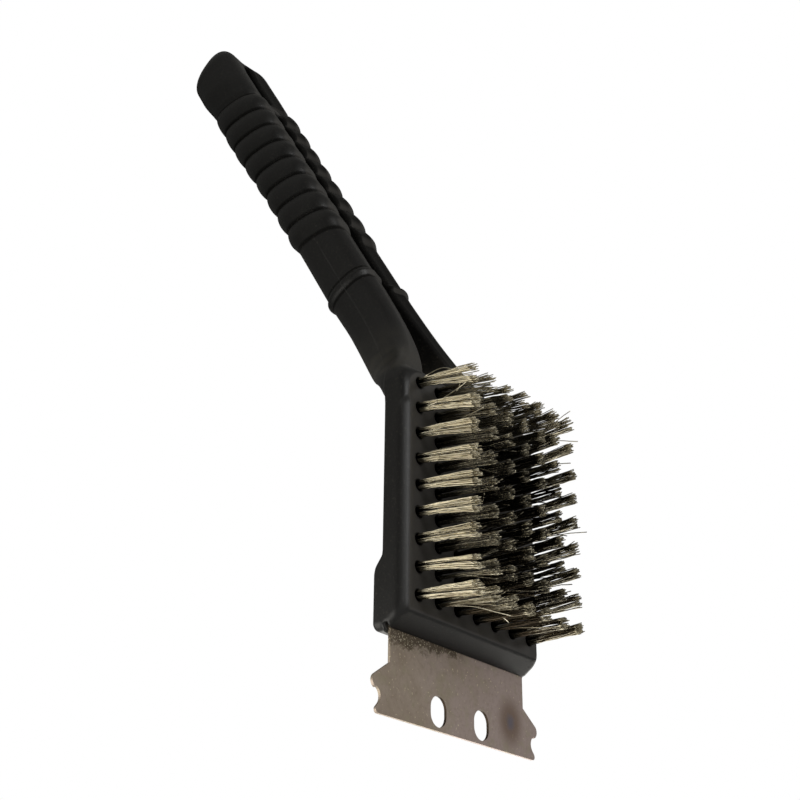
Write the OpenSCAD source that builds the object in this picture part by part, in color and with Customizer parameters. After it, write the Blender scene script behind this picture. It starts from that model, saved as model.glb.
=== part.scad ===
// Grill cleaning brush: a one-piece resin head and open two-rail handle, wire tufts stapled
// into a grid of blind holes, and a notched steel scraper blade screwed into the head's nose.
//
// Frame: the origin is the centre of the bristle face, +X runs towards the scraper, +Z is the
// way the bristles point, and the brush is symmetric about Y = 0.

/* [Bristles] */
// Number of tufts in each row, across the head
tuft_columns = 7; // [3:2:7]
// Distance between tuft rows
row_pitch = 8; // [7.5:0.1:8]
// Distance between tufts in a row
column_pitch = 8.7; // [7.5:0.1:8.8]
// Free length of the bristles above the face
bristle_length = 19.3; // [14:0.1:26]
// Diameter of a tuft hole
tuft_hole_d = 3.2; // [2.6:0.1:3.6]
// Depth of a tuft hole
tuft_hole_depth = 4.8; // [4.4:0.1:5]
// Diameter of a splayed tuft at its tip
tuft_tip_d = 5.2; // [3.4:0.1:6]

/* [Head] */
// Width of the head across its flat sides
head_width = 65; // [64:0.5:72]
// Thickness of the head block
head_thickness = 7.8; // [7.8:0.1:9]
// Size of the bevel along the sides of the bristle face
face_bevel = 2.3; // [1:0.1:2.6]
// Thickness that the rear pad adds under the scraper
pad_thickness = 3.4; // [3.2:0.1:5]

/* [Scraper] */
// Thickness of the scraper sheet
blade_thickness = 0.8; // [0.6:0.1:1]
// Width of the blade's neck and tang
neck_width = 61.2; // [58:0.1:61.2]
// Distance between the two holes in the blade
blade_hole_spacing = 19.6; // [14:0.1:24]
// Width of a blade hole
blade_hole_w = 6.9; // [5:0.1:8]
// Length of a blade hole
blade_hole_l = 8.5; // [8.1:0.1:10]

/* [Handle] */
// Angle between the handle and the head
handle_angle = 29.9; // [26:0.1:34]
// Width of the grip
grip_width = 27; // [25:0.5:30]
// Thickness of the grip
grip_thickness = 18.6; // [17:0.2:21]
// Width of the slot between the two rails
slot_width = 4.6; // [3.5:0.1:5.5]
// Number of rounded ribs on the grip
rib_count = 8; // [4:1:8]
// Distance between ribs
rib_pitch = 11.9; // [10:0.1:12]
// Height of a rib above the valleys beside it
rib_height = 1.7; // [0.8:0.1:2]
// Angle of the ribs from square across the grip
rib_lean = 20; // [0:1:26]

/* [Hidden] */

RESIN = "#1c1c1d";
STEEL = "#a89b90";
WIRE = "#8f8a78";
PLATED = "#c9c9c4";
slack = 0.03;                       // gap left between pieces that sit against each other
skin = 0.01;                        // thickness of the slices that hull() joins
through = 60;                       // length of a cut that passes right through the handle
tuft_rows = 9;                      // one node each

// Head block, from the front of the nose to the edge by the handle
head_front = 42.4;                  // nose of the block, at its back face
ridge_front = 36.9;                 // where the sloping nose meets the bristle face
head_rear = -38;
side = head_width / 2;
face_corners = [5.7, 1.5];          // corner radii at the handle's end and at the nose
edge_corners = [8, 2];
back_corners = [8, 2];

// Rear pad, a raised block that carries the scraper
pad_front = 41.4;
pad_rear = 20;
pad_ramp = 4.5;                     // run of the slope at the pad's rear end
pad_edge = 1;                       // chamfer round the pad's back face
pad_corner = 2;
pad_back = -head_thickness - pad_thickness;

// Scraper blade and the slot that holds its tang
blade_z = -6.4;                     // middle of the sheet
tang_rear = 24.5;
mouth = 39.6;                       // from here to the nose the slot is as wide as the head
neck_end = 50.3;
blade_end = 64.5;
hole_x = 59.2;
lobe = [56.1, 35.5, 2];             // centre x, centre y and radius of each rounded edge feature
notch = [60.1, 36.9, 2.7];
hook = [blade_end - 1, 35, 1];

// Screws, midway between tuft holes
screw_x = 3.5 * row_pitch;
screw_y = 1.5 * column_pitch;
screw_core_r = 1.35;
screw_head_r = 2.9;
screw_head_h = 1.7;
screw_sink = 0.25;                  // depth of the head's top below the pad's back face
screw_tip_z = -1.9;
head_play = 0.2;                    // play round the screw head, and round the core in the pad
cross_l = 3.4;                      // length, width and depth of each arm of the cross recess
cross_w = 0.7;
cross_depth = 0.85;

// Staple that holds a folded tuft down
anchor_t = 0.35;
anchor_h = 1.3;
anchor_z = 0.35 - tuft_hole_depth;

// Handle stations: s runs along the handle's axis from the knob, at negative values, through
// zero just before the last rib ends, to s_end inside the head block.
root = [-29.84, -9.86];             // x and z of the axis at s_meet
s_tip = -127;
s_knob = -88;                       // where the knob starts to swell
s_belly = -20;                      // where the grip starts to deepen towards the knob
s_rib = 2.3;                        // middle of the rib nearest the head
s_collar = 37.5;
s_fork = 44;                        // where the rails start to part
s_wide = 98;                        // where the fork would reach the width of the head
s_meet = 104;
s_end = 112;
rib_inset = 0.55;                   // depth of the valleys between ribs below the plain grip
rib_power = 0.45;                   // under 1 gives broad crowns and narrow valleys
rib_fade = 6.5;                     // length over which the last rib fades into the neck
lean_run = 30;                      // length over which the lean fades in and out
tip_lean = 0.25;                    // backward lean of the knob's end
collar_h = 0.9;
collar_w = 2.6;
knob_swell = 1.2;
knob_blend = 4;                     // length of the slope from the knob to the first valley
knob_run = 14;                      // length over which the knob swells
tip_r = 12;                         // length of the knob's rounded end
tip_square = 0.7;                   // under 1 rounds the knob's end less in plan than in side view
belly_h = 2.3;                      // extra depth of the grip's underside at the knob
belly_run = 50;
belly_share = 0.6;                  // share of the ribs' height that the belly takes up
fork_side = side - 0.5;             // half width of the fork at the head
fork_floor = -0.6;                  // height of the fork's underside above the axis at the head
fork_ease = 0.35;                   // share of the flare over which it settles at full width
fork_lift = 0.7;                    // rise of the fork's underside just past the collar
fork_run = 20;                      // length of that rise
fork_curve = [0.15, 3.2];           // straight share of the rails' parting, and power of the rest
floor_curve = [0.1, 4];             // the same for the underside's rise
top_gap = 0.5;                      // depth of the rails' crests below the bristle face, at most
corner = 3.5;                       // rounding left on the fork's outer edge at the head
rail_crest = 7.6;                   // distance from the middle plane to the crest of a rail
rail_power = 0.8;                   // under 1 squares the rail's outline slightly
valley = 0.12;                      // dip between the rails, as a share of half their height
tip_valley = 0.25;                  // share of that dip left at the knob's end
side_points = 13;                   // points round the outside of a rail
dip_points = 3;                     // points across the dip, top and bottom

function clamp(t) = max(0, min(1, t));
function smooth(t) = let (c = clamp(t)) c * c * (3 - 2 * c);
function arc(c, from, to, n = 10) = [
    for (i = [0:n]) let (a = from + (to - from) * i / n)
        [c[0] + c[2] * cos(a), c[1] + c[2] * sin(a)]
];
function flip(points) = [for (i = [len(points) - 1:-1:0]) [points[i][0], -points[i][1]]];

// Swell of the grip at station s
rib_first = s_rib - (rib_count - 0.5) * rib_pitch;
rib_last = s_rib + 0.5 * rib_pitch;
function rib_wave(s) = rib_height * pow(abs(cos(180 * (s - s_rib) / rib_pitch)), rib_power)
    - rib_inset;
function ribs(s) = s > s_rib ? (rib_height - rib_inset) * (1 - smooth((s - s_rib) / rib_fade))
    : s > rib_first ? rib_wave(s)
    : -rib_inset * (1 - smooth((rib_first - s) / knob_blend));
function collar(s) = abs(s - s_collar) > collar_w ? 0
    : collar_h * pow(cos(90 * (s - s_collar) / collar_w), 2);
function knob(s) = knob_swell * smooth((s_knob - s) / knob_run);
function belly(s) = smooth((s_belly - s) / belly_run);
function lean(s) = let (t = smooth((s - s_tip) / lean_run))
    tan(rib_lean) * t * (1 - smooth((s - rib_last) / lean_run)) - tip_lean * (1 - t);
function cap(s) = s > s_tip + tip_r ? 1
    : sqrt(max(0.0004, 1 - pow((s_tip + tip_r - s) / tip_r, 2)));

// Share of the way from grip to head: the rails part slowly, flare out, then settle at the
// width of the head
function flare(s, curve) = let (t = max(0, s - s_fork) / (s_wide - s_fork))
    curve[0] * t + (1 - curve[0]) * pow(t, curve[1]);
function settled(v) = min(v, 1) - pow(max(0, fork_ease - abs(v - 1)), 2) / fork_ease / 4;
function fork(s) = settled(flare(s, fork_curve));

// Half width, crest position, top and underside of the handle at station s
function half_width(s) = pow(cap(s), tip_square)
        * (grip_width / 2 + ribs(s) + collar(s) + knob(s))
    + (fork_side - grip_width / 2) * fork(s);
function crest(s) = pow(cap(s), tip_square) * rail_crest
    + (fork_side - corner - rail_crest) * fork(s);
function top(s) = min(cap(s) * (grip_thickness / 2 + ribs(s) + collar(s)), roof(s));
function roof(s) = -(root[1] + top_gap + (s - s_meet) * sin(handle_angle)) / cos(handle_angle);
function bottom(s) = fork_lift * smooth((s - s_collar) / fork_run)
    + (grip_thickness / 2 + fork_floor - fork_lift) * settled(flare(s, floor_curve))
    - cap(s) * (grip_thickness / 2 + ribs(s) * (1 - belly_share * belly(s)) + collar(s)
        + knob(s) + belly_h * belly(s));

// Outline of the handle at station s: two rounded rails with a shallow dip between them that
// nearly fills in at the knob's end. The outlines lean with the ribs.
function rail_side(w, y, t, b) = [
    for (i = [0:side_points - 1])
        let (a = -90 + 180 * i / (side_points - 1), mid = (t + b) / 2, h = (t - b) / 2)
            [y + (w - y) * pow(max(0, cos(a)), rail_power),
             mid + h * sign(sin(a)) * pow(abs(sin(a)), rail_power)]
];
function dip(y, z, depth) = [
    for (i = [1:dip_points]) let (v = 1 - 2 * i / (dip_points + 1)) [y * v, z - depth * (1 - v * v)]
];
function ring(s) =
    let (w = half_width(s), y = crest(s), t = top(s), b = bottom(s),
         fill = tip_valley + (1 - tip_valley) * smooth((s - s_tip) / tip_r - 0.5),
         d = valley * fill * (t - b) / 2,
         right = rail_side(w, y, t, b),
         left = [for (i = [side_points - 1:-1:0]) [-right[i][0], right[i][1]]])
    [for (p = concat(right, dip(y, t, d), left, dip(-y, b, -d))) [s + lean(s) * p[1], p[0], p[1]]];

stations = concat(
    [for (a = [4:12:88]) s_tip + tip_r * (1 - cos(a))],
    [for (s = [s_tip + tip_r + 2:4:rib_first - 1]) s],
    [for (s = [rib_first:rib_pitch / 6:rib_last + 0.01]) s],
    [for (s = [rib_last + 3:6:s_collar - 5]) s],
    [for (i = [-4:4]) s_collar + collar_w * i / 4],
    [for (s = [s_fork:4:s_end - 1]) s],
    [s_end]
);

module along_handle() {
    translate([root[0], 0, root[1]]) rotate([0, -handle_angle, 0]) translate([-s_meet, 0, 0])
        children();
}

module loft(rings) {
    n = len(rings[0]);
    last = len(rings) - 1;
    points = [for (r = rings) each r];
    walls = [
        for (k = [0:last - 1], i = [0:n - 1])
            each [[k * n + i, (k + 1) * n + (i + 1) % n, k * n + (i + 1) % n],
                  [k * n + i, (k + 1) * n + i, (k + 1) * n + (i + 1) % n]]
    ];
    ends = [[for (i = [0:n - 1]) i], [for (i = [n - 1:-1:0]) last * n + i]];
    polyhedron(points, concat(walls, ends));
}

// Opening between the rails: parallel along the grip, then widening to the head
slot_start = -78;
slot_flare = 15.5;                  // growth of the opening's half width where it meets the head
slot_curve = [0.3, 3];
function slot_half(s) = slot_width / 2 + slot_flare * flare(s, slot_curve);

module rail_slot() {
    half = slot_width / 2;
    start = arc([slot_start + half, 0, half], 180, 100, 6);
    edge = [[slot_start + half, half], [s_fork, half]];
    flare = [for (s = [s_fork + 3:3:s_end + 3]) [s, slot_half(s)]];
    outline = concat(start, edge, flare);
    linear_extrude(height = through, center = true) polygon(concat(outline, flip(outline)));
}

// Long opening in the knob, for a hook
hang_first = -118.5;
hang_last = -90;
module hanging_slot() {
    linear_extrude(height = through, center = true) {
        for (s = [hang_first, hang_last]) translate([s, 0]) circle(d = slot_width, $fn = 48);
        translate([hang_first, -slot_width / 2]) square([hang_last - hang_first, slot_width]);
    }
}

module handle() {
    along_handle() difference() {
        loft([for (s = stations) ring(s)]);
        rail_slot();
        hanging_slot();
    }
}

// Thin slice with rounded corners: x from back to front, half width y, [back, front] radii
module slice(z, back, front, y, r) {
    for (m = [-1, 1]) {
        translate([back + r[0], m * (y - r[0]), z]) cylinder(r = r[0], h = skin, $fn = 32);
        translate([front - r[1], m * (y - r[1]), z]) cylinder(r = r[1], h = skin, $fn = 32);
    }
}

module head_block() {
    slope = (head_front - ridge_front) / head_thickness;
    hull() {
        slice(-skin, head_rear + face_bevel, ridge_front, side - face_bevel, face_corners);
        slice(-face_bevel, head_rear, ridge_front + slope * face_bevel, side, edge_corners);
        slice(-head_thickness, head_rear, head_front, side, back_corners);
    }
}

module rear_pad() {
    r = back_corners[1];
    hull() {
        slice(-head_thickness, pad_rear, pad_front, side, [pad_edge, r]);
        slice(pad_back + pad_edge, pad_rear + pad_ramp - pad_edge, pad_front, side,
            [pad_corner, r]);
        slice(pad_back, pad_rear + pad_ramp, pad_front - pad_edge, side - pad_edge,
            [pad_corner, r - pad_edge]);
    }
}

module at_screws() {
    for (m = [-1, 1]) translate([screw_x, m * screw_y, 0]) children();
}

module at_tufts(row) {
    x = (row - (tuft_rows + 1) / 2) * row_pitch;
    for (c = [1:tuft_columns])
        translate([x, (c - (tuft_columns + 1) / 2) * column_pitch, 0]) children();
}

// Slot for the tang, open at the nose and, near its mouth, at both sides
module tang_slot() {
    run = pad_front - tang_rear;
    translate([tang_rear - slack, -neck_width / 2 - slack, blade_z - blade_thickness / 2 - slack])
        cube([run + 10, neck_width + 2 * slack, blade_thickness + 2 * slack]);
    translate([mouth, -side - 1, blade_z - blade_thickness / 2 - slack])
        cube([10, 2 * side + 2, blade_thickness + 2 * slack]);
}

// Pilot hole, clearance hole through the pad and recess for the head
module screw_hole() {
    translate([0, 0, blade_z]) cylinder(r = screw_core_r + slack, h = screw_tip_z - blade_z, $fn = 48);
    translate([0, 0, pad_back - 1])
        cylinder(r = screw_core_r + head_play, h = blade_z - pad_back + 1, $fn = 48);
    translate([0, 0, pad_back - 1])
        cylinder(r = screw_head_r + head_play, h = screw_head_h + screw_sink + 1, $fn = 48);
}

// One-piece moulding: head, rear pad and handle
module body() {
    color(RESIN) difference() {
        union() {
            head_block();
            rear_pad();
            handle();
        }
        tang_slot();
        at_screws() screw_hole();
        for (row = [1:tuft_rows]) at_tufts(row) translate([0, 0, -tuft_hole_depth])
            cylinder(d = tuft_hole_d, h = tuft_hole_depth + 1, $fn = 48);
    }
}

// Oval hole along X, cut as two bores and the stretch between them
module blade_hole() {
    run = blade_hole_l - blade_hole_w;
    h = 4;
    for (e = [-1, 1]) translate([e * run / 2, 0, -h / 2]) cylinder(d = blade_hole_w, h = h, $fn = 64);
    translate([-run / 2, -blade_hole_w / 2, -h / 2]) cube([run, blade_hole_w, h]);
}

// Notched sheet blade: plain tang and neck, then a lobe, a notch and a hook on each edge
module scraper_blade() {
    half = concat(
        [[tang_rear, neck_width / 2], [neck_end, neck_width / 2]],
        arc(lobe, 140, 20), arc(notch, 200, 320), arc(hook, 130, 0, 6)
    );
    color(STEEL) difference() {
        translate([0, 0, blade_z - blade_thickness / 2])
            linear_extrude(height = blade_thickness) polygon(concat(half, flip(half)));
        for (m = [-1, 1]) translate([hole_x, m * blade_hole_spacing / 2, blade_z]) blade_hole();
        at_screws() translate([0, 0, blade_z - 2])
            cylinder(r = screw_core_r + head_play, h = 4, $fn = 48);
    }
}

// Two pan-head screws that clamp the tang from the back
module scraper_screws() {
    head_z = pad_back + screw_sink;
    color(PLATED) at_screws() difference() {
        union() {
            translate([0, 0, head_z]) cylinder(r = screw_head_r, h = screw_head_h, $fn = 48);
            translate([0, 0, head_z + 1])
                cylinder(r = screw_core_r, h = screw_tip_z - 0.1 - head_z - 1, $fn = 48);
        }
        for (a = [0, 90]) rotate([0, 0, a]) translate([-cross_l / 2, -cross_w / 2, head_z - 1])
            cube([cross_l, cross_w, cross_depth + 1]);
    }
}

// A row of wire tufts: each is folded under its staple and fans out towards its tip
module tuft_row(row) {
    root_r = tuft_hole_d / 2 - slack;
    color(WIRE) at_tufts(row) difference() {
        union() {
            translate([0, 0, slack - tuft_hole_depth])
                cylinder(r = root_r, h = tuft_hole_depth, $fn = 32);
            cylinder(r1 = root_r, r2 = tuft_tip_d / 2, h = bristle_length, $fn = 32);
        }
        translate([-anchor_t / 2 - slack, -tuft_hole_d, anchor_z - slack])
            cube([anchor_t + 2 * slack, 2 * tuft_hole_d, anchor_h + 2 * slack]);
    }
}

// A row of flat wire staples, one driven across the bottom of each tuft hole
module anchor_row(row) {
    w = tuft_hole_d - 4 * slack;
    color(PLATED) at_tufts(row) translate([-anchor_t / 2, -w / 2, anchor_z])
        cube([anchor_t, w, anchor_h]);
}

body();
scraper_blade();
scraper_screws();
tuft_row(1);  // tuft_row_1
tuft_row(2);  // tuft_row_2
tuft_row(3);  // tuft_row_3
tuft_row(4);  // tuft_row_4
tuft_row(5);  // tuft_row_5
tuft_row(6);  // tuft_row_6
tuft_row(7);  // tuft_row_7
tuft_row(8);  // tuft_row_8
tuft_row(9);  // tuft_row_9
anchor_row(1);  // anchor_row_1
anchor_row(2);  // anchor_row_2
anchor_row(3);  // anchor_row_3
anchor_row(4);  // anchor_row_4
anchor_row(5);  // anchor_row_5
anchor_row(6);  // anchor_row_6
anchor_row(7);  // anchor_row_7
anchor_row(8);  // anchor_row_8
anchor_row(9);  // anchor_row_9
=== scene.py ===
"""Looks for the grill cleaning brush: a moulded resin body, wire tufts and a used steel scraper.

Lengths in the shape code are millimetres in the CAD frame: the origin is the centre of the
bristle face, +X runs to the scraper and +Z is the way the bristles point.
"""
import math

import bpy
import numpy as np
from mathutils import Matrix, Vector


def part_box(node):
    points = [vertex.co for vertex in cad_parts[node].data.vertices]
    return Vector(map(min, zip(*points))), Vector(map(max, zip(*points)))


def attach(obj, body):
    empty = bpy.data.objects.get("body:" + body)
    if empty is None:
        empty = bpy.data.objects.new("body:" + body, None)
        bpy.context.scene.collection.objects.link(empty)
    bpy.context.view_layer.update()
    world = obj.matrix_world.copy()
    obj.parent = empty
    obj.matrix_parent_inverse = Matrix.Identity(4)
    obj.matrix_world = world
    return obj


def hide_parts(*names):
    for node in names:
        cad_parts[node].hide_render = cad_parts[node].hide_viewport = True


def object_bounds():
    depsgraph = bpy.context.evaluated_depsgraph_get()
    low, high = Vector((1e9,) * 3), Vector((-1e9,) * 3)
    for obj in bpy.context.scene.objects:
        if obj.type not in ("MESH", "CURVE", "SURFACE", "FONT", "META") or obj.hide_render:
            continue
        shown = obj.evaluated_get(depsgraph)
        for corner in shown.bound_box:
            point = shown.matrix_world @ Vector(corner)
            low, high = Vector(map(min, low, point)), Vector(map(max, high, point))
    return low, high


MM = 0.001
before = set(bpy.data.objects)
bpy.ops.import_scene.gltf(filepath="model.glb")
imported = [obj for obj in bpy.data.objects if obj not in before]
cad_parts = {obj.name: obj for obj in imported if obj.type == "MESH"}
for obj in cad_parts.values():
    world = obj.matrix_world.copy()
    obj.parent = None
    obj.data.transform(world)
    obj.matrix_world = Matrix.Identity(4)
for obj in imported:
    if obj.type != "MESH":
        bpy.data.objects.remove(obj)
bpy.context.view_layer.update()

# --- sizes read from the frame -------------------------------------------------------------
body_low, body_high = (np.array(v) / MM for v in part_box("body"))
blade_low, blade_high = (np.array(v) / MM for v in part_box("scraper_blade"))
tuft_low, tuft_high = (np.array(v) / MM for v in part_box("tuft_row_1"))
last_low = np.array(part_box("tuft_row_9")[0]) / MM
screw_low, screw_high = (np.array(v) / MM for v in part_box("scraper_screws"))

ROWS, COLUMNS = 9, 7
SIDE = body_high[1]
BRISTLES = tuft_high[2]
ROOT_DEPTH = -tuft_low[2]
TIP_R = (tuft_high[0] - tuft_low[0]) / 2
ROW_PITCH = (last_low[0] - tuft_low[0]) / (ROWS - 1)
COLUMN_PITCH = (tuft_high[1] - TIP_R) / ((COLUMNS - 1) / 2)
BLADE_Z = (blade_low[2] + blade_high[2]) / 2
BLADE_T = blade_high[2] - blade_low[2]
SCREW_X = (screw_low[0] + screw_high[0]) / 2
SCREW_Y = screw_high[1] - (screw_high[0] - screw_low[0]) / 2

# --- head and pad --------------------------------------------------------------------------
HEAD_REAR = -38.0
HEAD_BEYOND = 60.0                  # past the nose, which cuts the block off
RIDGE = 36.9                        # where the sloping nose meets the bristle face
NOSE_RUN = 5.5                      # distance that the nose slopes out from there to the back
HEAD_CORNER = 8.0
HEAD_T = 7.8
BEVEL = 2.3
NOSE_ROUND, BEVEL_ROUND, FACE_ROUND = 2.4, 1.3, 0.8
PAD_REAR, PAD_FRONT = 20.0, 41.4
PAD_RAMP = 4.5                      # run of the slope at the pad's rear end
PAD_BACK = -11.2
PAD_REAR_CORNER, PAD_FRONT_CORNER = 1.0, 2.2
PAD_RAMP_ROUND, PAD_BACK_ROUND, PAD_JOIN = 1.0, 1.5, 0.5
PAD_OVERLAP = 0.8                   # height that the pad shares with the head block

# --- cuts in the head ----------------------------------------------------------------------
GAP = 0.03                          # left between pieces that sit against each other
TANG_REAR = 24.5
NECK = 30.6                         # half the width of the blade's neck and tang
MOUTH_X = 39.6                      # from here to the nose the tang's slot is as wide as the head
RECESS_R, SHANK_R, PILOT_R = 3.1, 1.55, 1.38
RECESS_DEPTH, PILOT_TOP = 1.95, -1.9
HOLE_R, HOLE_DEPTH = 1.6, 4.8
TANG_ROUND, SCREW_ROUND, HOLE_ROUND = 0.3, 0.35, 0.4

# --- handle --------------------------------------------------------------------------------
# Station s runs along the handle's axis, from the knob at negative values to the head
ANGLE = math.radians(29.9)
ROOT_X, ROOT_Z = -29.84, -9.86      # the axis at S_MEET
S_TIP, S_KNOB, S_BELLY, S_RIB = -127.0, -88.0, -20.0, 2.3
S_COLLAR, S_FORK, S_WIDE, S_MEET, S_END = 37.5, 44.0, 98.0, 104.0, 112.0
GRIP_W, GRIP_T = 27.0, 18.6
RIBS, RIB_PITCH, RIB_H = 8, 11.9, 1.7
RIB_INSET = 0.55                    # depth of the grooves between ribs below the plain grip
RIB_POWER = 0.45                    # under 1 gives broad crowns and narrow grooves
RIB_FADE = 6.5                      # length over which the last rib fades into the neck
RIB_LEAN, LEAN_RUN = math.radians(20), 30.0     # the lean fades in and out over LEAN_RUN
TIP_LEAN = 0.25                     # slope of the knob's end, which leans the other way
LEAN_REACH = 15.0                   # the lean is worked out up to this height off the axis
COLLAR_H, COLLAR_W = 0.9, 2.6
KNOB_SWELL, KNOB_RUN, KNOB_BLEND = 1.2, 14.0, 4.0
CAP_RUN, CAP_SQUARE = 12.0, 0.7     # length of the knob's round end, and a power that squares it
CAP_LEAST = 0.0004                  # keeps the outline from shrinking to nothing at the tip
BELLY_H, BELLY_RUN = 2.3, 50.0
BELLY_SHARE = 0.6                   # share of the ribs' height that is lost on the belly
FORK_SIDE = SIDE - 0.5
FORK_FLOOR = -0.6                   # height of the rails' undersides over the axis at the head
FORK_LIFT, FORK_RUN = 0.7, 20.0     # rise of the undersides just past the collar
FORK_CURVE, FLOOR_CURVE, SLOT_CURVE = (0.15, 3.2), (0.1, 4), (0.3, 3)     # see flare()
FORK_EASE = 0.35                    # share of the flare over which it settles at full width
CORNER, RAIL_CREST = 3.5, 7.6
RAIL_POWER = 2.5                    # of the curve round the outside of a rail; 2 is an ellipse
VALLEY, TIP_VALLEY = 0.12, 0.25     # dip between the rails, and the share of it at the tip
TOP_GAP = 0.5                       # the handle stays this far below the plane of the bristle face
SLOT_R, SLOT_START, SLOT_END, SLOT_FLARE = 2.3, -78.0, S_END + 5, 15.5
HANG_FIRST, HANG_LAST = -118.5, -90.0
HANDLE_ROUND, NECK_JOIN = 1.5, 2.0

# --- surface mesh --------------------------------------------------------------------------
STATION_STEP = 0.1
CELL = 0.4                          # size of a cell of the body's surface mesh
BLOCK = 8                           # cells along the side of a block that is kept or skipped
MARGIN = 2.0                        # room round the body for the mesh
KEEP = 1.6                          # blocks farther off than this many block sides are skipped
FIELD_LIMITS = (-20, 60)            # the handle's rough distance is held between these


def smooth(t):
    """Eases from 0 to 1 as t goes from 0 to 1."""
    c = np.clip(t, 0, 1)
    return c * c * (3 - 2 * c)


def smooth_max(a, b, k):
    """max(a, b) with a round of about 0.85 k where the two surfaces meet."""
    h = np.maximum(k - np.abs(a - b), 0) / k
    return np.maximum(a, b) + h * h * k / 4


def smooth_min(a, b, k):
    return -smooth_max(-a, -b, k)


# Handle outline against station s, sampled finely once and then interpolated
station = np.arange(S_TIP - 4, S_END + 4, STATION_STEP)
rib_first = S_RIB - (RIBS - 0.5) * RIB_PITCH
rib_last = S_RIB + 0.5 * RIB_PITCH
rib_wave = RIB_H * np.abs(np.cos(np.pi * (station - S_RIB) / RIB_PITCH)) ** RIB_POWER - RIB_INSET
last_rib = (RIB_H - RIB_INSET) * (1 - smooth((station - S_RIB) / RIB_FADE))
ribs = np.where(station > S_RIB, last_rib, rib_wave)
knob_side = -RIB_INSET * (1 - smooth((rib_first - station) / KNOB_BLEND))
ribs = np.where(station < rib_first, knob_side, ribs)
lean_in = smooth((station - S_TIP) / LEAN_RUN)
lean = math.tan(RIB_LEAN) * lean_in * (1 - smooth((station - rib_last) / LEAN_RUN))
lean = lean - TIP_LEAN * (1 - lean_in)
collar = COLLAR_H * np.cos(np.clip((station - S_COLLAR) / COLLAR_W, -1, 1) * np.pi / 2) ** 2
knob = KNOB_SWELL * smooth((S_KNOB - station) / KNOB_RUN)
belly = smooth((S_BELLY - station) / BELLY_RUN)
cap = np.maximum(S_TIP + CAP_RUN - station, 0) / CAP_RUN
cap = np.sqrt(np.clip(1 - cap ** 2, CAP_LEAST, 1))
parting = np.maximum(station - S_FORK, 0) / (S_WIDE - S_FORK)


def flare(curve):
    """Share of the way from grip to head: curve holds the straight share and the rest's power."""
    return curve[0] * parting + (1 - curve[0]) * parting ** curve[1]


fork = smooth_min(flare(FORK_CURVE), 1, FORK_EASE)
floor_rise = smooth_min(flare(FLOOR_CURVE), 1, FORK_EASE)
half_width = cap ** CAP_SQUARE * (GRIP_W / 2 + ribs + collar + knob)
half_width = half_width + (FORK_SIDE - GRIP_W / 2) * fork
crest = cap ** CAP_SQUARE * RAIL_CREST + (FORK_SIDE - CORNER - RAIL_CREST) * fork
top = cap * (GRIP_T / 2 + ribs + collar)
bottom = (
    FORK_LIFT * smooth((station - S_COLLAR) / FORK_RUN)
    + (GRIP_T / 2 + FORK_FLOOR - FORK_LIFT) * floor_rise
    - cap * (GRIP_T / 2 + ribs * (1 - BELLY_SHARE * belly) + collar + knob + BELLY_H * belly)
)
dip = VALLEY * (TIP_VALLEY + (1 - TIP_VALLEY) * smooth((station - S_TIP) / CAP_RUN - 0.5))
slot_half = SLOT_R + SLOT_FLARE * flare(SLOT_CURVE)


def handle_frame(x, z):
    """Station along the handle's axis and height above it."""
    dx, dz = x - ROOT_X, z - ROOT_Z
    c, s = math.cos(ANGLE), math.sin(ANGLE)
    return S_MEET + dx * c + dz * s, dz * c - dx * s


def rib_station(s, n):
    """Station of the rib line that passes through a point, as the ribs lean."""
    ring = s
    for _ in range(3):
        ring = s - np.clip(n, -LEAN_REACH, LEAN_REACH) * np.interp(ring, station, lean)
    return ring


def handle_field(x, y, z):
    """Roughly the distance to the handle's surface, negative inside."""
    s, n = handle_frame(x, z)
    ring = rib_station(s, n)
    index = np.clip((ring - station[0]) / STATION_STEP, 0, len(station) - 1.001)
    i = index.astype(np.int32)
    frac = index - i

    def at(values):
        return values[i] * (1 - frac) + values[i + 1] * frac

    y = np.abs(y)
    yc, t, b = at(crest), at(top), at(bottom)
    a = at(half_width) - yc
    h = (t - b) / 2 * (1 - at(dip) * (1 - np.minimum(y / yc, 1) ** 2))
    u = np.maximum(y - yc, 0) / a
    v = np.abs(n - (t + b) / 2) / h
    power = RAIL_POWER
    g = np.maximum((u ** power + v ** power) ** (1 / power), 1e-6)
    slope = np.sqrt(((u / g) ** (power - 1) / a) ** 2 + ((v / g) ** (power - 1) / h) ** 2 + 1e-6)
    f = np.clip((g - 1) / slope, *FIELD_LIMITS)
    f = np.maximum(f, np.maximum(S_TIP - s, s - S_END))
    f = smooth_max(f, z + TOP_GAP, HANDLE_ROUND)
    start = SLOT_START + SLOT_R
    slot = np.where(s < start, np.hypot(s - start, y) - SLOT_R, y - at(slot_half))
    slot = np.maximum(slot, s - SLOT_END)
    hang = np.hypot(s - np.clip(s, HANG_FIRST, HANG_LAST), y) - SLOT_R
    return smooth_max(f, -np.minimum(slot, hang), HANDLE_ROUND)


def plan_box(x, y, x0, x1, half, r0, r1):
    """Distance in plan to a rectangle with corner radius r0 at x0 and r1 at x1."""
    r = np.where(x < (x0 + x1) / 2, r0, r1)
    qx = np.abs(x - (x0 + x1) / 2) - ((x1 - x0) / 2 - r)
    qy = np.abs(y) - (half - r)
    outside = np.hypot(np.maximum(qx, 0), np.maximum(qy, 0))
    return outside + np.minimum(np.maximum(qx, qy), 0) - r


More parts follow.
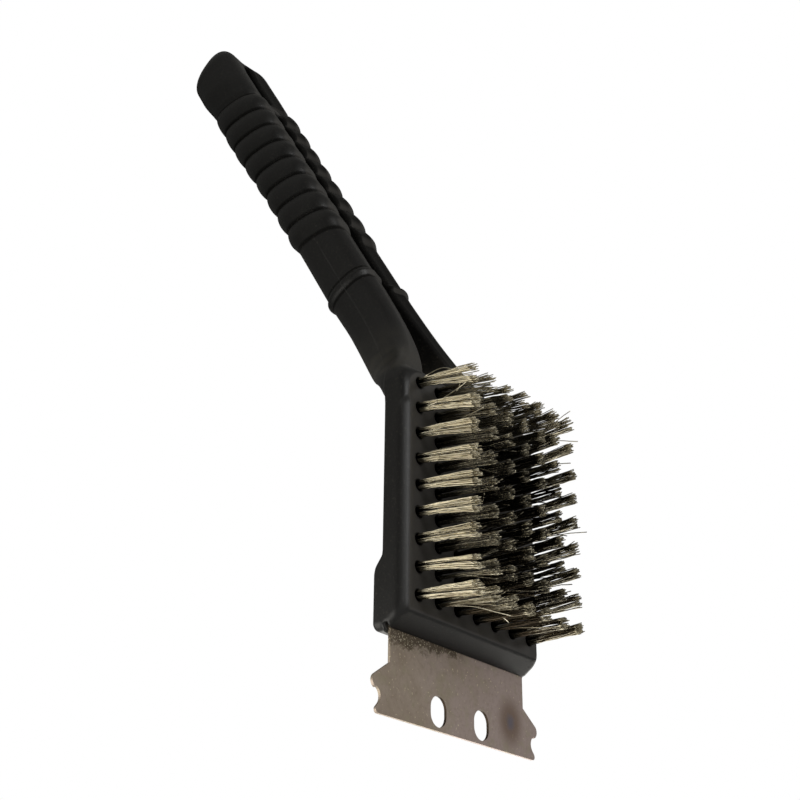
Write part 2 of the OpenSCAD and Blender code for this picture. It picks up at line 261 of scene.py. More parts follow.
def head_field(x, y, z):
    """Roughly the distance to the surface of the head and its pad, negative inside."""
    side = plan_box(x, y, HEAD_REAR, HEAD_BEYOND, SIDE, HEAD_CORNER, HEAD_CORNER)
    slope = NOSE_RUN / HEAD_T
    nose = (x - RIDGE + slope * z) / math.hypot(1, slope)
    f = smooth_max(side, nose, NOSE_ROUND)
    f = smooth_max(f, (side + BEVEL + z) / math.sqrt(2), BEVEL_ROUND)
    f = smooth_max(f, z, FACE_ROUND)
    f = np.maximum(f, -z - HEAD_T)
    pad = plan_box(x, y, PAD_REAR - 2, PAD_FRONT, SIDE, PAD_REAR_CORNER, PAD_FRONT_CORNER)
    steep = PAD_RAMP / (-PAD_BACK - HEAD_T)
    ramp = (PAD_REAR + (-HEAD_T - z) * steep - x) / math.hypot(1, steep)
    pad = smooth_max(pad, ramp, PAD_RAMP_ROUND)
    pad = smooth_max(pad, PAD_BACK - z, PAD_BACK_ROUND)
    pad = np.maximum(pad, z + HEAD_T - PAD_OVERLAP)
    return smooth_min(f, pad, PAD_JOIN)


def cuts_field(f, x, y, z):
    """Takes the tang slot, its open mouth, the screw holes and the tuft holes out of f."""
    tang = np.maximum(TANG_REAR - GAP - x, np.minimum(np.abs(y) - NECK - GAP, MOUTH_X - x))
    tang = np.maximum(tang, np.abs(z - BLADE_Z) - BLADE_T / 2 - GAP)
    f = smooth_max(f, -tang, TANG_ROUND)
    rho = np.hypot(x - SCREW_X, np.abs(y) - SCREW_Y)
    recess = np.maximum(rho - RECESS_R, z - (PAD_BACK + RECESS_DEPTH))
    shank = np.maximum(rho - SHANK_R, z - BLADE_Z)
    pilot = np.maximum(rho - PILOT_R, z - PILOT_TOP)
    f = smooth_max(f, -np.minimum(recess, np.minimum(shank, pilot)), SCREW_ROUND)
    column = (COLUMNS - 1) / 2
    row = (ROWS - 1) / 2
    hx = np.clip(np.round(x / ROW_PITCH), -row, row) * ROW_PITCH
    hy = np.clip(np.round(y / COLUMN_PITCH), -column, column) * COLUMN_PITCH
    hole = np.maximum(np.hypot(x - hx, y - hy) - HOLE_R, -HOLE_DEPTH - z)
    return smooth_max(f, -hole, HOLE_ROUND)


def body_field(p):
    x, y, z = p[:, 0], p[:, 1], p[:, 2]
    f = smooth_min(handle_field(x, y, z), head_field(x, y, z), NECK_JOIN)
    f = np.maximum(f, np.maximum(np.abs(y) - SIDE, z))
    return cuts_field(f, x, y, z)


def in_chunks(field, p, size=400000):
    """The field at many points, worked out a part at a time to save memory."""
    return np.concatenate([field(p[i : i + size]) for i in range(0, len(p), size)])


def surface_mesh(field, low, high, cell, block):
    """Quads on the zero surface of field: one vertex in each cell that the surface crosses."""
    big = cell * block
    counts = np.ceil((high - low) / big).astype(int) + 1
    grid = np.stack(np.meshgrid(*[np.arange(n) for n in counts], indexing="ij"), -1).reshape(-1, 3)
    middle = low + (grid + 0.5) * big
    keep = np.abs(in_chunks(field, middle)) < KEEP * big
    grid = grid[keep]
    corner = np.arange(block + 1)
    local = np.stack(np.meshgrid(corner, corner, corner, indexing="ij"), -1).reshape(-1, 3)
    nodes = (grid[:, None, :] * block + local[None]).reshape(-1, 3)
    values = in_chunks(field, low + nodes * cell).reshape(len(grid), block + 1, block + 1, block + 1)
    inside = values < 0
    n = block
    total = sum(
        inside[:, i : i + n, j : j + n, k : k + n].astype(np.int8)
        for i in (0, 1) for j in (0, 1) for k in (0, 1)
    )
    b, i, j, k = np.nonzero((total > 0) & (total < 8))
    cells = grid[b] * block + np.stack([i, j, k], 1)
    span = (counts * block + 2).astype(np.int64)

    def key(c):
        return (c[:, 0] * span[1] + c[:, 1]) * span[2] + c[:, 2]

    # A cell's vertex is the mean of the crossings on its twelve edges
    point_sum = np.zeros((len(cells), 3))
    crossings = np.zeros(len(cells))
    for axis in range(3):
        for u in (0, 1):
            for v in (0, 1):
                start = np.zeros(3, int)
                start[(axis + 1) % 3], start[(axis + 2) % 3] = u, v
                end = start.copy()
                end[axis] = 1
                f0 = values[b, i + start[0], j + start[1], k + start[2]]
                f1 = values[b, i + end[0], j + end[1], k + end[2]]
                cross = (f0 < 0) != (f1 < 0)
                t = np.where(cross, f0 / np.where(f0 == f1, 1, f0 - f1), 0)
                spot = start + t[:, None] * (end - start)
                point_sum += np.where(cross[:, None], spot, 0)
                crossings += cross
    points = low + (cells + point_sum / crossings[:, None]) * cell
    keys = key(cells)
    order = np.argsort(keys)
    sorted_keys = keys[order]
    faces = []
    for axis in range(3):
        a1, a2 = (axis + 1) % 3, (axis + 2) % 3
        step = np.zeros(3, int)
        step[axis] = 1
        first = inside[:, :n, :n, :n]
        second = inside[:, step[0] : step[0] + n, step[1] : step[1] + n, step[2] : step[2] + n]
        b, i, j, k = np.nonzero(first != second)
        outward = first[b, i, j, k]
        base = grid[b] * block + np.stack([i, j, k], 1)
        quad = []
        for d1, d2 in ((1, 1), (0, 1), (0, 0), (1, 0)):
            c = base.copy()
            c[:, a1] -= d1
            c[:, a2] -= d2
            where = np.searchsorted(sorted_keys, key(c))
            quad.append(order[np.minimum(where, len(order) - 1)])
        quad = np.stack(quad, 1)
        quad[~outward] = quad[~outward][:, ::-1]
        faces.append(quad)
    return points, np.concatenate(faces)


def settle(field, points, cell, rounds=3):
    """Moves points onto the zero surface of field, by at most half a cell a round."""
    step = 0.02                     # to each side, to measure the field's slope
    for _ in range(rounds):
        f = in_chunks(field, points)
        rise = [
            in_chunks(field, points + offset) - in_chunks(field, points - offset)
            for offset in step * np.eye(3)
        ]
        slope = np.stack(rise, 1) / (2 * step)
        steep = np.maximum((slope ** 2).sum(1), 0.05)     # where the field is flat, moves stay small
        move = -f[:, None] * slope / steep[:, None]
        length = np.linalg.norm(move, axis=1)[:, None]
        points = points + move * np.minimum(1, 0.5 * cell / np.maximum(length, 1e-9))
    return points


def mesh_object(name, points, faces, material):
    mesh = bpy.data.meshes.new(name)
    mesh.from_pydata((points * MM).tolist(), [], faces)
    mesh.polygons.foreach_set("use_smooth", [True] * len(mesh.polygons))
    mesh.materials.append(material)
    mesh.update()
    obj = bpy.data.objects.new(name, mesh)
    bpy.context.scene.collection.objects.link(obj)
    return obj


def paint(obj, name, values):
    """Stores one value a point, for a material to read."""
    attribute = obj.data.attributes.new(name, "FLOAT", "POINT")
    attribute.data.foreach_set("value", values.astype(np.float32))


# --- materials -----------------------------------------------------------------------------
RESIN_DARK, RESIN_LIGHT = (0.004, 0.004, 0.004, 1), (0.008, 0.0077, 0.007, 1)
RESIN_SPECK, RESIN_WORN = (0.055, 0.050, 0.040, 1), (0.05, 0.05, 0.048, 1)
# The first colour below is painted light for faces that look up
UPWARD_FACE_LIGHT, ASH = (0.056, 0.053, 0.049, 1), (0.042, 0.038, 0.029, 1)
WIRE_DULL, WIRE_BRIGHT = (0.40, 0.35, 0.24, 1), (0.86, 0.80, 0.62, 1)
# The last colour below darkens the wires for soil and painted shade
WIRE_BROWN, WIRE_SOIL_AND_SHADE = (0.22, 0.18, 0.11, 1), (0.014, 0.013, 0.010, 1)
STEEL_DARK, STEEL_LIGHT = (0.46, 0.375, 0.30, 1), (0.56, 0.47, 0.395, 1)
STEEL_MAUVE, STEEL_BROWN = (0.56, 0.455, 0.43, 1), (0.32, 0.25, 0.19, 1)
STEEL_OLIVE, STEEL_SPECK = (0.46, 0.42, 0.28, 1), (1.0, 0.92, 0.66, 1)
# The last colour below is painted shade for the walls of the blade's holes
STAIN, CRUST, HOLE_WALL_SHADE = (0.10, 0.075, 0.045, 1), (1.0, 0.92, 0.72, 1), (0.06, 0.04, 0.025, 1)
TINT_RIM, TINT_CORE = (0.21, 0.135, 0.09, 1), (0.20, 0.195, 0.25, 1)
ZINC_DARK, ZINC_LIGHT = (0.46, 0.46, 0.45, 1), (0.62, 0.62, 0.60, 1)
TINT_X, TINT_Y = 55.7, 24.0         # middle of the blade's heat tint
TINT_RX, TINT_RY = 6.2, 5.2


class Nodes:
    """A short way to write node trees."""

    def __init__(self, name):
        self.material = bpy.data.materials.new(name)
        self.material.use_nodes = True
        self.tree = self.material.node_tree
        self.shader = self.tree.nodes["Principled BSDF"]

    def add(self, kind, **values):
        node = self.tree.nodes.new("ShaderNode" + kind)
        for name, value in values.items():
            setattr(node, name, value)
        return node

    def put(self, node, socket, value):
        target = node.inputs[socket]
        if isinstance(value, bpy.types.NodeSocket):
            self.tree.links.new(value, target)
        else:
            target.default_value = value

    def set(self, **values):
        """Fills in the shader's sockets, with _ for each space in their names."""
        for name, value in values.items():
            self.put(self.shader, name.replace("_", " "), value)
        return self.material

    def position(self):
        """The point being shaded, in millimetres."""
        node = self.add("VectorMath", operation="MULTIPLY")
        self.put(node, 0, self.add("TexCoord").outputs["Object"])
        self.put(node, 1, (1 / MM, 1 / MM, 1 / MM))
        return node.outputs[0]

    def split(self, vector):
        """The x, y and z of a vector."""
        node = self.add("SeparateXYZ")
        self.put(node, 0, vector)
        return node.outputs[0], node.outputs[1], node.outputs[2]

    def normal(self):
        """The x, y and z of the way the surface faces."""
        return self.split(self.add("NewGeometry").outputs["Normal"])

    def painted(self, name):
        """A value that paint() stored on the points."""
        return self.add("Attribute", attribute_name=name).outputs["Fac"]

    def math(self, operation, a, b=0.0, c=0.0):
        node = self.add("Math", operation=operation)
        for i, value in enumerate((a, b, c)):
            self.put(node, i, value)
        return node.outputs[0]

    def plus(self, a, b):
        return self.math("ADD", a, b)

    def times(self, a, b):
        return self.math("MULTIPLY", a, b)

    def scaled(self, value, factor, offset):
        """value * factor + offset"""
        return self.math("MULTIPLY_ADD", value, factor, offset)

    def size(self, value):
        return self.math("ABSOLUTE", value)

    def ramp(self, value, low, high, a=0.0, b=1.0):
        """Eases from a, where value is low, to b, where it is high."""
        node = self.add("MapRange", interpolation_type="SMOOTHSTEP")
        for i, v in enumerate((value, low, high, a, b)):
            self.put(node, i, v)
        return node.outputs[0]

    def noise(self, where, scale, detail=2.0, rough=0.5):
        node = self.add("TexNoise")
        self.put(node, "Vector", where)
        self.put(node, "Scale", scale)
        self.put(node, "Detail", detail)
        self.put(node, "Roughness", rough)
        return node.outputs["Fac"]

    def mix(self, factor, a, b):
        node = self.add("Mix", data_type="RGBA")
        self.put(node, 0, factor)
        self.put(node, 6, a)
        self.put(node, 7, b)
        return node.outputs[2]

    def bump(self, height, distance, strength, normal=None):
        node = self.add("Bump")
        self.put(node, "Height", height)
        self.put(node, "Distance", distance * MM)
        self.put(node, "Strength", strength)
        if normal is not None:
            self.put(node, "Normal", normal)
        return node.outputs[0]


def resin_material():
    """Black resin with a fine grain, dust, a worn parting line and some ash, with painted light on
    faces that look up and painted shade in the grooves, beside the collar and on the far rail's inner
    side.
    """
    n = Nodes("moulded_resin")
    at = n.position()
    x, y, _ = n.split(at)
    _, facing_y, facing_z = n.normal()
    cloud = n.noise(at, 0.06, 3.0)
    grain = n.noise(at, 2.6, 2.0)
    color = n.mix(cloud, RESIN_DARK, RESIN_LIGHT)
    dust = n.ramp(n.noise(at, 1.3, 6.0, 0.8), 0.55, 0.68)
    color = n.mix(n.times(dust, 0.65), color, RESIN_SPECK)
    line = n.ramp(n.size(n.painted("seam")), 0.12, 0.3, 1.0, 0.0)
    worn = n.ramp(n.noise(at, 0.15, 3.0), 0.4, 0.6, 0.1, 0.35)
    color = n.mix(n.times(line, worn), color, RESIN_WORN)
    # Painted light: faces that look up are made lighter
    color = n.mix(n.ramp(facing_z, 0.85, 0.97, 0.0, 0.85), color, UPWARD_FACE_LIGHT)

    # Ash rests on the neck beside the head
    ash = n.times(n.ramp(x, -68.0, -44.0), n.ramp(x, -39.0, -36.0, 1.0, 0.0))
    ash = n.times(ash, n.ramp(n.noise(at, 0.12, 5.0, 0.6), 0.35, 0.65, 0.15, 0.8))
    color = n.mix(ash, color, ASH)

    # Painted shade takes the shine off the grooves, the lines beside the collar and the far rail's
    # inner side
    groove_shade = n.ramp(n.painted("groove_shade"), 0.0, 0.7, 0.0, 0.8)
    rail = n.times(n.ramp(y, 0.5, 1.5), n.ramp(x, -60.0, -50.0, 1.0, 0.0))
    inward = n.ramp(facing_y, -0.15, 0.45, 1.0, 0.0)
    painted_shade = n.math("MAXIMUM", groove_shade, n.times(n.times(inward, rail), 0.85))
    shine = n.scaled(painted_shade, -0.5, 0.5)

    rough = n.scaled(grain, 0.08, n.scaled(cloud, 0.14, 0.27))
    normal = n.bump(line, 0.12, 0.5, n.bump(grain, 0.07, 0.6))
    return n.set(Base_Color=color, Roughness=rough, Normal=normal, Specular_IOR_Level=shine)


def wire_material():
    """Steel wire, each with its own tint, darkened by soil and painted shade, with small patches left
    out of the darkening so the metal glints.
    """
    n = Nodes("bristle_wire")
    at = n.position()
    patch = n.noise(at, 1.2, 3.0)
    color = n.mix(n.painted("tint"), WIRE_DULL, WIRE_BRIGHT)
    color = n.mix(n.ramp(patch, 0.55, 0.8, 0.0, 0.5), color, WIRE_BROWN)
    # Gaps in the soil and painted shade, so that the metal glints there
    glint_gaps = n.ramp(n.noise(at, 2.4, 2.0), 0.56, 0.62, 0.0, 0.6)
    soil_and_shade = n.times(n.painted("soil_and_shade"), n.math("SUBTRACT", 1.0, glint_gaps))
    color = n.mix(soil_and_shade, color, WIRE_SOIL_AND_SHADE)
    rough = n.scaled(patch, 0.16, 0.06)
    normal = n.bump(n.noise(at, 6.0, 2.0), 0.02, 0.4)
    return n.set(Base_Color=color, Metallic=1.0, Roughness=rough, Normal=normal)


def blade_material():
    """Used sheet steel: stain and crust beside the nose, heat tint, painted shade on the walls of the
    holes.
    """
    n = Nodes("blade_steel")
    at = n.position()
    x, y, _ = n.split(at)
    cloud = n.noise(at, 0.09, 4.0, 0.6)
    fine = n.noise(at, 0.8, 5.0, 0.65)
    color = n.mix(n.ramp(cloud, 0.3, 0.7), STEEL_DARK, STEEL_LIGHT)
    color = n.mix(n.ramp(n.scaled(cloud, 60.0, y), 10.0, 50.0, 0.0, 0.8), color, STEEL_MAUVE)
    color = n.mix(n.ramp(fine, 0.45, 0.75, 0.0, 0.35), color, STEEL_BROWN)
    blotch = n.ramp(n.noise(at, 0.25, 5.0, 0.6), 0.48, 0.7)
    color = n.mix(n.times(blotch, 0.4), color, STEEL_OLIVE)
    speck = n.ramp(n.noise(at, 1.3, 2.0, 0.4), 0.67, 0.73)
    color = n.mix(n.times(speck, 0.55), color, STEEL_SPECK)

    # Brown stain beside the nose, fading away from it and towards the far side
    wander = n.scaled(n.noise(at, 0.35, 5.0, 0.6), 10.0, -5.0)
    away = n.plus(x, n.plus(n.times(y, 0.11), wander))
    across = n.ramp(n.plus(y, wander), -4.0, 4.0, 1.0, 0.0)
    stain = n.times(n.ramp(away, 40.6, 43.6, 1.0, 0.0), across)
    color = n.mix(n.times(stain, 0.8), color, STAIN)
    crust = n.ramp(n.noise(at, 1.7, 4.0, 0.65), 0.56, 0.64)
    crust = n.times(crust, n.ramp(away, 41.0, 44.0, 0.8, 0.0))
    color = n.mix(n.times(crust, across), color, CRUST)

    # Heat tint: a bluish middle inside a brown rim
    dx = n.math("DIVIDE", n.math("SUBTRACT", x, TINT_X), TINT_RX)
    dy = n.math("DIVIDE", n.math("SUBTRACT", y, TINT_Y), TINT_RY)
    r = n.math("SQRT", n.plus(n.times(dx, dx), n.times(dy, dy)))
    r = n.plus(r, n.scaled(fine, 0.4, -0.2))
    color = n.mix(n.times(n.ramp(r, 0.45, 1.5, 1.0, 0.0), 0.7), color, TINT_RIM)
    color = n.mix(n.times(n.ramp(r, 0.05, 0.55, 1.0, 0.0), 0.75), color, TINT_CORE)

    # Walls of the two holes, darkened with painted shade
    _, _, facing_z = n.normal()
    wall = n.ramp(n.size(facing_z), 0.5, 0.9, 1.0, 0.0)
    inner = n.times(n.ramp(n.size(y), 20.0, 24.0, 1.0, 0.0), n.ramp(x, 62.2, 63.0, 1.0, 0.0))
    color = n.mix(n.times(wall, inner), color, HOLE_WALL_SHADE)

    rough = n.scaled(stain, 0.15, n.scaled(fine, 0.22, 0.40))
    normal = n.bump(n.noise(at, 1.6, 4.0, 0.6), 0.03, 0.5)
    return n.set(Base_Color=color, Metallic=0.75, Roughness=rough, Normal=normal)


def plated_material():
    """Plated steel of the screws and the staples."""
    n = Nodes("plated_steel")
    at = n.position()
    cloud = n.noise(at, 0.8, 3.0)
    color = n.mix(cloud, ZINC_DARK, ZINC_LIGHT)
    rough = n.scaled(cloud, 0.2, 0.25)
    normal = n.bump(n.noise(at, 5.0, 2.0), 0.02, 0.4)
    return n.set(Base_Color=color, Metallic=1.0, Roughness=rough, Normal=normal)


# --- body and blade ------------------------------------------------------------------------
SEAM_Y, SEAM_SHORT = 6.0, 4.0       # the parting line shows beyond this y, and ends short of S_WIDE
OFF_SEAM = 9.0                      # painted where no parting line is shown
GROOVE_SHARE = 0.4                  # height of the rib wave, as a share, below which a groove gets painted shade
GROOVE_BEYOND = 2.0
COLLAR_SHADE = 0.9                  # half width of the painted shadow line on each side of the collar
EDGE, EDGE_ANGLE = 0.12, math.radians(40)


def make_body(material):
    """The resin moulding as one mesh, with its parting line and the painted shade of its grooves and
    collar stored on its points.
    """
    points, faces = surface_mesh(body_field, body_low - MARGIN, body_high + MARGIN, CELL, BLOCK)
    points = settle(body_field, points, CELL)
    obj = mesh_object("resin_body", points, faces.tolist(), material)
    s, height = handle_frame(points[:, 0], points[:, 2])
    ring = rib_station(s, height)

    middle = np.interp(s, station, (top + bottom) / 2)
    shown = (np.abs(points[:, 1]) > SEAM_Y) & (s < S_WIDE - SEAM_SHORT) & (s > rib_last)
    paint(obj, "seam", np.where(shown, height - middle, OFF_SEAM))

    # Painted shade in the grooves between the ribs, and painted shadow beside the collar
    groove_shade = 1 - np.abs(np.cos(np.pi * (ring - S_RIB) / RIB_PITCH)) / GROOVE_SHARE
    ribbed = (ring > rib_first - GROOVE_BEYOND) & (ring < rib_last + GROOVE_BEYOND)
    collar_shadow = 1 - np.abs(np.abs(ring - S_COLLAR) - COLLAR_W) / COLLAR_SHADE
    paint(obj, "groove_shade", np.clip(np.maximum(np.where(ribbed, groove_shade, 0), collar_shadow), 0, 1))
    return obj


def soften_edges(obj):
    """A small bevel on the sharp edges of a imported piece."""
    bevel = obj.modifiers.new("edge", "BEVEL")
    bevel.width = EDGE * MM
    bevel.segments = 2
    bevel.limit_method = "ANGLE"
    bevel.angle_limit = EDGE_ANGLE


# --- tufts ---------------------------------------------------------------------------------
WIRES, WIRE_R, WIRE_SIDES, WIRE_POINTS = 46, 0.15, 4, 11
WIRE_ROOT = 0.6                     # height of a wire's end above the tuft's folded root
BUNDLE_R, ROOT_PINCH = 1.25, 0.35
LEG_GAP, LEG_WIDTH = 0.45, 0.7      # a folded wire's two legs leave the hole on two sides
BEND = 1.25                         # power of the bend that a wire takes on above the face
SPREAD_SCATTER, DRIFT_SCATTER, HEIGHT_SCATTER = 0.14, 0.25, 0.35
CRIMP, CRIMP_X, CRIMP_Y = 0.08, 1.9, 1.7        # size of the waves in a wire, and their pace
CRIMP_RISE = 3.0                    # height over which the waves set in
# Tips lean towards the scraper on the near side, less from row to row, and in to the middle
LEAN, LEAN_FALL, LEAN_IN, LEAN_SCATTER = 2.3, 0.16, 0.065, 0.3
SPLAY_NEAR, SPLAY_FIRST = 0.45, 0.5     # added on the near side, and in the first row
STRAY_SHARE, STRAY_PUSH = 0.035, (2.4, 2.4, 0.6)
LOOSE_POINTS = 28

# Soil and painted shade by column, from the near one to the far one, and by row, from the handle to the
# scraper: the near column and the end rows, which light reaches, get the least
COLUMN_SOIL_AND_SHADE = (0.0, 0.75, 0.95, 1.0, 1.0, 0.95, 0.75)
ROW_SOIL_AND_SHADE = (0.45, 0.6, 0.9, 1.0, 1.0, 1.0, 1.0, 0.95, 0.62)
CLEAN_SHARE, CLEAN_SOIL_AND_SHADE = 0.10, 0.15   # share of wires with little darkening, and the soil and painted shade left on them
SOIL_SHADE_LOW, SOIL_SHADE_HIGH, SOIL_SHADE_MOST = 0.8, 1.2, 0.97
TIP_WIPED, TIP_LENGTH, TIP_EASE = 0.9, 1.6, 1.2
FOOT_DARKENING, FOOT_HEIGHT = 0.7, 4.0

# Wires that have worked loose: the row each belongs to, and points along it
LOOSE = (
    (1, ((-32.2, -26.0, -2.0), (-33.2, -26.8, 3.0), (-34.8, -25.4, 7.0), (-34.2, -23.6, 10.0),
         (-32.2, -23.0, 11.0), (-30.8, -21.6, 12.0), (-30.0, -21.2, 13.0))),
    (1, ((-31.4, -25.4, -2.0), (-31.4, -24.2, 8.0), (-31.9, -23.2, 12.0), (-30.4, -23.4, 12.5),
         (-28.0, -23.6, 12.2), (-26.6, -24.0, 11.6))),
    (2, ((-23.0, -26.6, -2.0), (-24.0, -26.0, 6.0), (-26.4, -25.0, 12.0), (-28.0, -24.8, 16.0))),
    (3, ((-15.6, -26.8, -2.0), (-16.0, -25.0, 8.0), (-18.4, -23.0, 15.0), (-20.2, -21.4, 19.0))),
    (6, ((8.6, -8.6, -2.0), (7.2, -12.0, 8.0), (5.6, -16.0, 14.0), (4.6, -19.0, 17.0))),
    (9, ((32.4, -17.0, -2.0), (33.0, -13.0, 7.0), (34.4, -9.0, 12.0), (35.2, -5.0, 15.0))),
    (9, ((32.2, 8.4, -2.0), (33.6, 6.0, 6.0), (34.6, 1.0, 10.0), (35.0, -4.0, 12.0))),
)


def wire_path(rng, x, y, leg, lean, splay):
    """Centre line of one wire from its root under the staple to its tip."""
    angle = rng.uniform(0, 2 * np.pi)
    radius = BUNDLE_R * math.sqrt(rng.uniform(0, 1))
    mouth_x = leg * (LEG_GAP + abs(radius * math.cos(angle)) * LEG_WIDTH)
    mouth_y = radius * math.sin(angle)
    spread = rng.normal(splay, SPREAD_SCATTER)
    drift = rng.normal(0, DRIFT_SCATTER, 2)
    height = BRISTLES - abs(rng.normal(0, HEIGHT_SCATTER))
    wave = rng.uniform(0, 2 * np.pi, 2)
    z = np.linspace(WIRE_ROOT - ROOT_DEPTH, height, WIRE_POINTS)
    bend = np.clip(z / height, 0, 1) ** BEND
    width = (1 - ROOT_PINCH * np.clip(-z / ROOT_DEPTH, 0, 1)) * (1 + (spread - 1) * bend)
    crimp = CRIMP * np.clip(z / CRIMP_RISE, 0, 1)
    ox = mouth_x * width + (drift[0] + lean[0]) * bend + crimp * np.sin(z * CRIMP_X + wave[0])
    oy = mouth_y * width + (drift[1] + lean[1]) * bend + crimp * np.sin(z * CRIMP_Y + wave[1])
    return np.stack([x + ox, y + oy, z], 1)


def stray_path(rng, path):
    """Bends a wire away from its tuft, as a few do after use."""
    t = np.linspace(0, 1, len(path)) ** 2
    push = rng.normal(0, 1, 3) * STRAY_PUSH
    push[2] = -abs(push[2])
    return path + t[:, None] * push


def curve_through(knots, count):
    """Smooth path through a few points, as a loose wire lies."""
    knots = np.array(knots, float)
    padded = np.vstack([2 * knots[0] - knots[1], knots, 2 * knots[-1] - knots[-2]])
    spots = []
    for u in np.linspace(0, len(knots) - 1, count):
        i = min(int(u), len(knots) - 2)
        a, b, c, d = padded[i : i + 4]
        w = u - i
        second = 2 * a - 5 * b + 4 * c - d
        third = 3 * b - a - 3 * c + d
        spots.append(0.5 * (2 * b + (c - a) * w + second * w ** 2 + third * w ** 3))
    return np.array(spots)


def tube(path, radius, sides):
    """Closed tube along a path: its points and faces."""
    tangent = np.gradient(path, axis=0)
    tangent /= np.linalg.norm(tangent, axis=1)[:, None]
    across = np.cross(tangent, (0.0, 1.0, 0.0))
    across /= np.linalg.norm(across, axis=1)[:, None]
    other = np.cross(tangent, across)
    angles = (np.arange(sides) * 2 * np.pi / sides)[None, :, None]
    ring = np.cos(angles) * across[:, None] + np.sin(angles) * other[:, None]
    points = (path[:, None] + radius * ring).reshape(-1, 3)
    n = len(path)
    faces = []
    for i in range(n - 1):
        for j in range(sides):
            k = (j + 1) % sides
            faces.append((i * sides + j, i * sides + k, (i + 1) * sides + k, (i + 1) * sides + j))
    faces.append(tuple(range(sides))[::-1])
    faces.append(tuple((n - 1) * sides + j for j in range(sides)))
    return points, faces


def join(tubes):
    """Points and faces of many tubes as one mesh."""
    points, faces = [], []
    count = 0
    for p, f in tubes:
        points.append(p)
        faces += [tuple(i + count for i in face) for face in f]
        count += len(p)
    return np.concatenate(points), faces


def wire_soil_and_shade(rng, z, column, row):
    """Soil and painted shade at heights z on one wire: some wires and tips get less, and the feet are
    darker.
    """
    clean = rng.uniform() < CLEAN_SHARE
    share = CLEAN_SOIL_AND_SHADE if clean else rng.uniform(SOIL_SHADE_LOW, SOIL_SHADE_HIGH)
    wiped = TIP_WIPED * rng.uniform() ** 3 * smooth((z - BRISTLES + TIP_LENGTH) / TIP_EASE)
    foot = FOOT_DARKENING * np.clip(1 - z / FOOT_HEIGHT, 0, 1)
    return np.clip(COLUMN_SOIL_AND_SHADE[column] * ROW_SOIL_AND_SHADE[row - 1] * share * (1 - wiped) + foot, 0, SOIL_SHADE_MOST)


def make_tuft_row(row, material):
    """The wires of one row's tufts, which lean and splay more on the near side."""
    rng = np.random.default_rng(100 + row)
    x = (row - (ROWS + 1) / 2) * ROW_PITCH
    tubes, tint, soil_and_shade = [], [], []
    for column in range(COLUMNS):
        y = (column - (COLUMNS - 1) / 2) * COLUMN_PITCH
        near = 0.5 - y / ((COLUMNS - 1) * COLUMN_PITCH)
        lean = np.array([near * (LEAN - LEAN_FALL * (row - 1)), -LEAN_IN * y])
        lean += rng.normal(0, LEAN_SCATTER, 2)
        splay = 1.0 + SPLAY_NEAR * near + (SPLAY_FIRST if row == 1 else 0)
        for wire in range(WIRES):
            path = wire_path(rng, x, y, 1 if wire % 2 else -1, lean, splay)
            if rng.uniform() < STRAY_SHARE and column > 0:
                path = stray_path(rng, path)
            points, faces = tube(path, WIRE_R, WIRE_SIDES)
            tubes.append((points, faces))
            tint.append(np.full(len(points), rng.uniform()))
            soil_and_shade.append(wire_soil_and_shade(rng, points[:, 2], column, row))
    for owner, knots in LOOSE:
        if owner == row:
            points, faces = tube(curve_through(knots, LOOSE_POINTS), WIRE_R, WIRE_SIDES)
            tubes.append((points, faces))
            tint.append(np.ones(len(points)))
            soil_and_shade.append(np.zeros(len(points)))
    obj = mesh_object(f"wire_row_{row}", *join(tubes), material)
    paint(obj, "tint", np.concatenate(tint))
    paint(obj, "soil_and_shade", np.concatenate(soil_and_shade))
    return obj


# --- stage ---------------------------------------------------------------------------------
HORIZON, ZENITH, SKY_RISE = 0.05, 0.38, 0.6
FLOOR_DIM, FLOOR_LIGHT = 0.06, 2.1
FLOOR_AHEAD = (-30.0, 90.0)         # x over which the floor's glow rises
FLOOR_ASIDE = (60.0, 130.0)         # distance to either side over which it rises as well
FLOOR_UNDER = 0.15                  # share of the glow that is left in the brush's own strip
FLOOR_SIZE, FLOOR_DROP = 12, 0.0005     # metres, as are the places below
LAMP_AT, LAMP_TARGET = (-0.5, -0.4, 0.85), (-0.05, 0, -0.03)
CAMERA_AT, CAMERA_TARGET = (0.14816, -0.29736, 0.21529), (-0.0229, -0.0351, 0.0)
CAMERA_ROLL, LENS, SENSOR = math.radians(70.4), 60.8, 36


def seen_by_camera(tree, seen, lit, output):
    """Shows the camera one shader and lights the scene with the other."""
    path = tree.nodes.new("ShaderNodeLightPath")
    mix = tree.nodes.new("ShaderNodeMixShader")
    tree.links.new(path.outputs["Is Camera Ray"], mix.inputs[0])
    tree.links.new(lit, mix.inputs[1])
    tree.links.new(seen, mix.inputs[2])
    tree.links.new(mix.outputs[0], output)


def make_floor():
    """A pale floor, white to the camera, that glows ahead of the brush and beside it."""
    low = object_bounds()[0][2]
    bpy.ops.mesh.primitive_plane_add(size=FLOOR_SIZE, location=(0, 0, low - FLOOR_DROP))
    floor = bpy.context.object
    floor.name = "floor"
    n = Nodes("floor")
    x, y, _ = n.split(n.position())
    ahead = n.ramp(x, *FLOOR_AHEAD, FLOOR_DIM, FLOOR_LIGHT)
    aside = n.ramp(n.size(y), *FLOOR_ASIDE, FLOOR_UNDER, 1.0)
    glow = {"Emission_Color": (1, 0.97, 0.91, 1), "Emission_Strength": n.times(ahead, aside)}
    floor.data.materials.append(n.set(Base_Color=(0.25, 0.25, 0.24, 1), Roughness=0.9, **glow))
    white = n.add("Emission")
    output = n.tree.nodes["Material Output"].inputs[0]
    seen_by_camera(n.tree, white.outputs[0], n.shader.outputs[0], output)


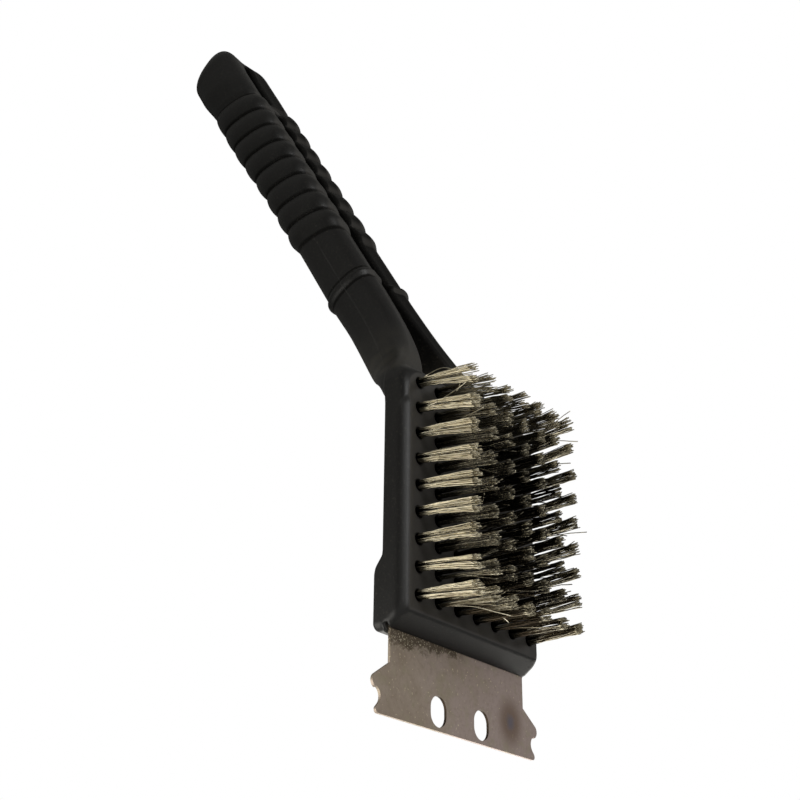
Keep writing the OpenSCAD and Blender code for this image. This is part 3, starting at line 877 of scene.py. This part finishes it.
def make_world():
    """A background, white to the camera, that lights the brush more from above."""
    world = bpy.data.worlds.new("studio")
    world.use_nodes = True
    tree = world.node_tree
    lit = tree.nodes["Background"]
    lit.inputs[0].default_value = (1, 0.98, 0.94, 1)
    where = tree.nodes.new("ShaderNodeTexCoord")
    split = tree.nodes.new("ShaderNodeSeparateXYZ")
    sky = tree.nodes.new("ShaderNodeMapRange")
    sky.interpolation_type = "SMOOTHSTEP"
    for i, value in enumerate((0.0, 0.0, SKY_RISE, HORIZON, ZENITH)):
        sky.inputs[i].default_value = value
    tree.links.new(where.outputs["Generated"], split.inputs[0])
    tree.links.new(split.outputs[2], sky.inputs[0])
    tree.links.new(sky.outputs[0], lit.inputs[1])
    seen = tree.nodes.new("ShaderNodeBackground")
    seen.inputs[0].default_value = (1, 1, 1, 1)
    output = tree.nodes["World Output"].inputs[0]
    seen_by_camera(tree, seen.outputs[0], lit.outputs[0], output)
    bpy.context.scene.world = world


def make_lamp():
    """One soft lamp above the handle's near side."""
    light = bpy.data.lights.new("overhead", "AREA")
    light.shape = "RECTANGLE"
    light.size, light.size_y = 0.35, 0.75
    light.energy = 2.6
    obj = bpy.data.objects.new("overhead", light)
    obj.location = LAMP_AT
    aim = Vector(LAMP_TARGET) - Vector(LAMP_AT)
    obj.rotation_euler = aim.to_track_quat("-Z", "Y").to_euler()
    bpy.context.scene.collection.objects.link(obj)


def make_camera():
    """The photograph's view: from above the scraper's near side, rolled so that the head is upright."""
    camera = bpy.data.cameras.new("camera")
    camera.sensor_width = SENSOR
    camera.lens = LENS
    camera.clip_start = 0.01
    obj = bpy.data.objects.new("camera", camera)
    place = Vector(CAMERA_AT)
    back = (place - Vector(CAMERA_TARGET)).normalized()
    level = Vector((0, 0, 1)).cross(back).normalized()
    up = back.cross(level)
    right = math.cos(CAMERA_ROLL) * level + math.sin(CAMERA_ROLL) * up
    tall = back.cross(right)
    rotation = Matrix((right, tall, back)).transposed().to_4x4()
    obj.matrix_world = Matrix.Translation(place) @ rotation
    bpy.context.scene.collection.objects.link(obj)
    bpy.context.scene.camera = obj


# --- scene ---------------------------------------------------------------------------------
resin = resin_material()
wire = wire_material()
steel = blade_material()
plated = plated_material()

body = make_body(resin)
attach(body, "root")
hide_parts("body")

for row in range(1, ROWS + 1):
    tufts = make_tuft_row(row, wire)
    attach(tufts, "root")
    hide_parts(f"tuft_row_{row}")

for name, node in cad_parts.items():
    if name == "scraper_blade":
        finish = steel
    elif name.startswith(("anchor", "scraper_screws")):
        finish = plated
    else:
        continue
    node.data.materials.clear()
    node.data.materials.append(finish)

soften_edges(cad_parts["scraper_blade"])
make_floor()
make_world()
make_camera()
make_lamp()
bpy.context.scene.view_settings.view_transform = "Standard"
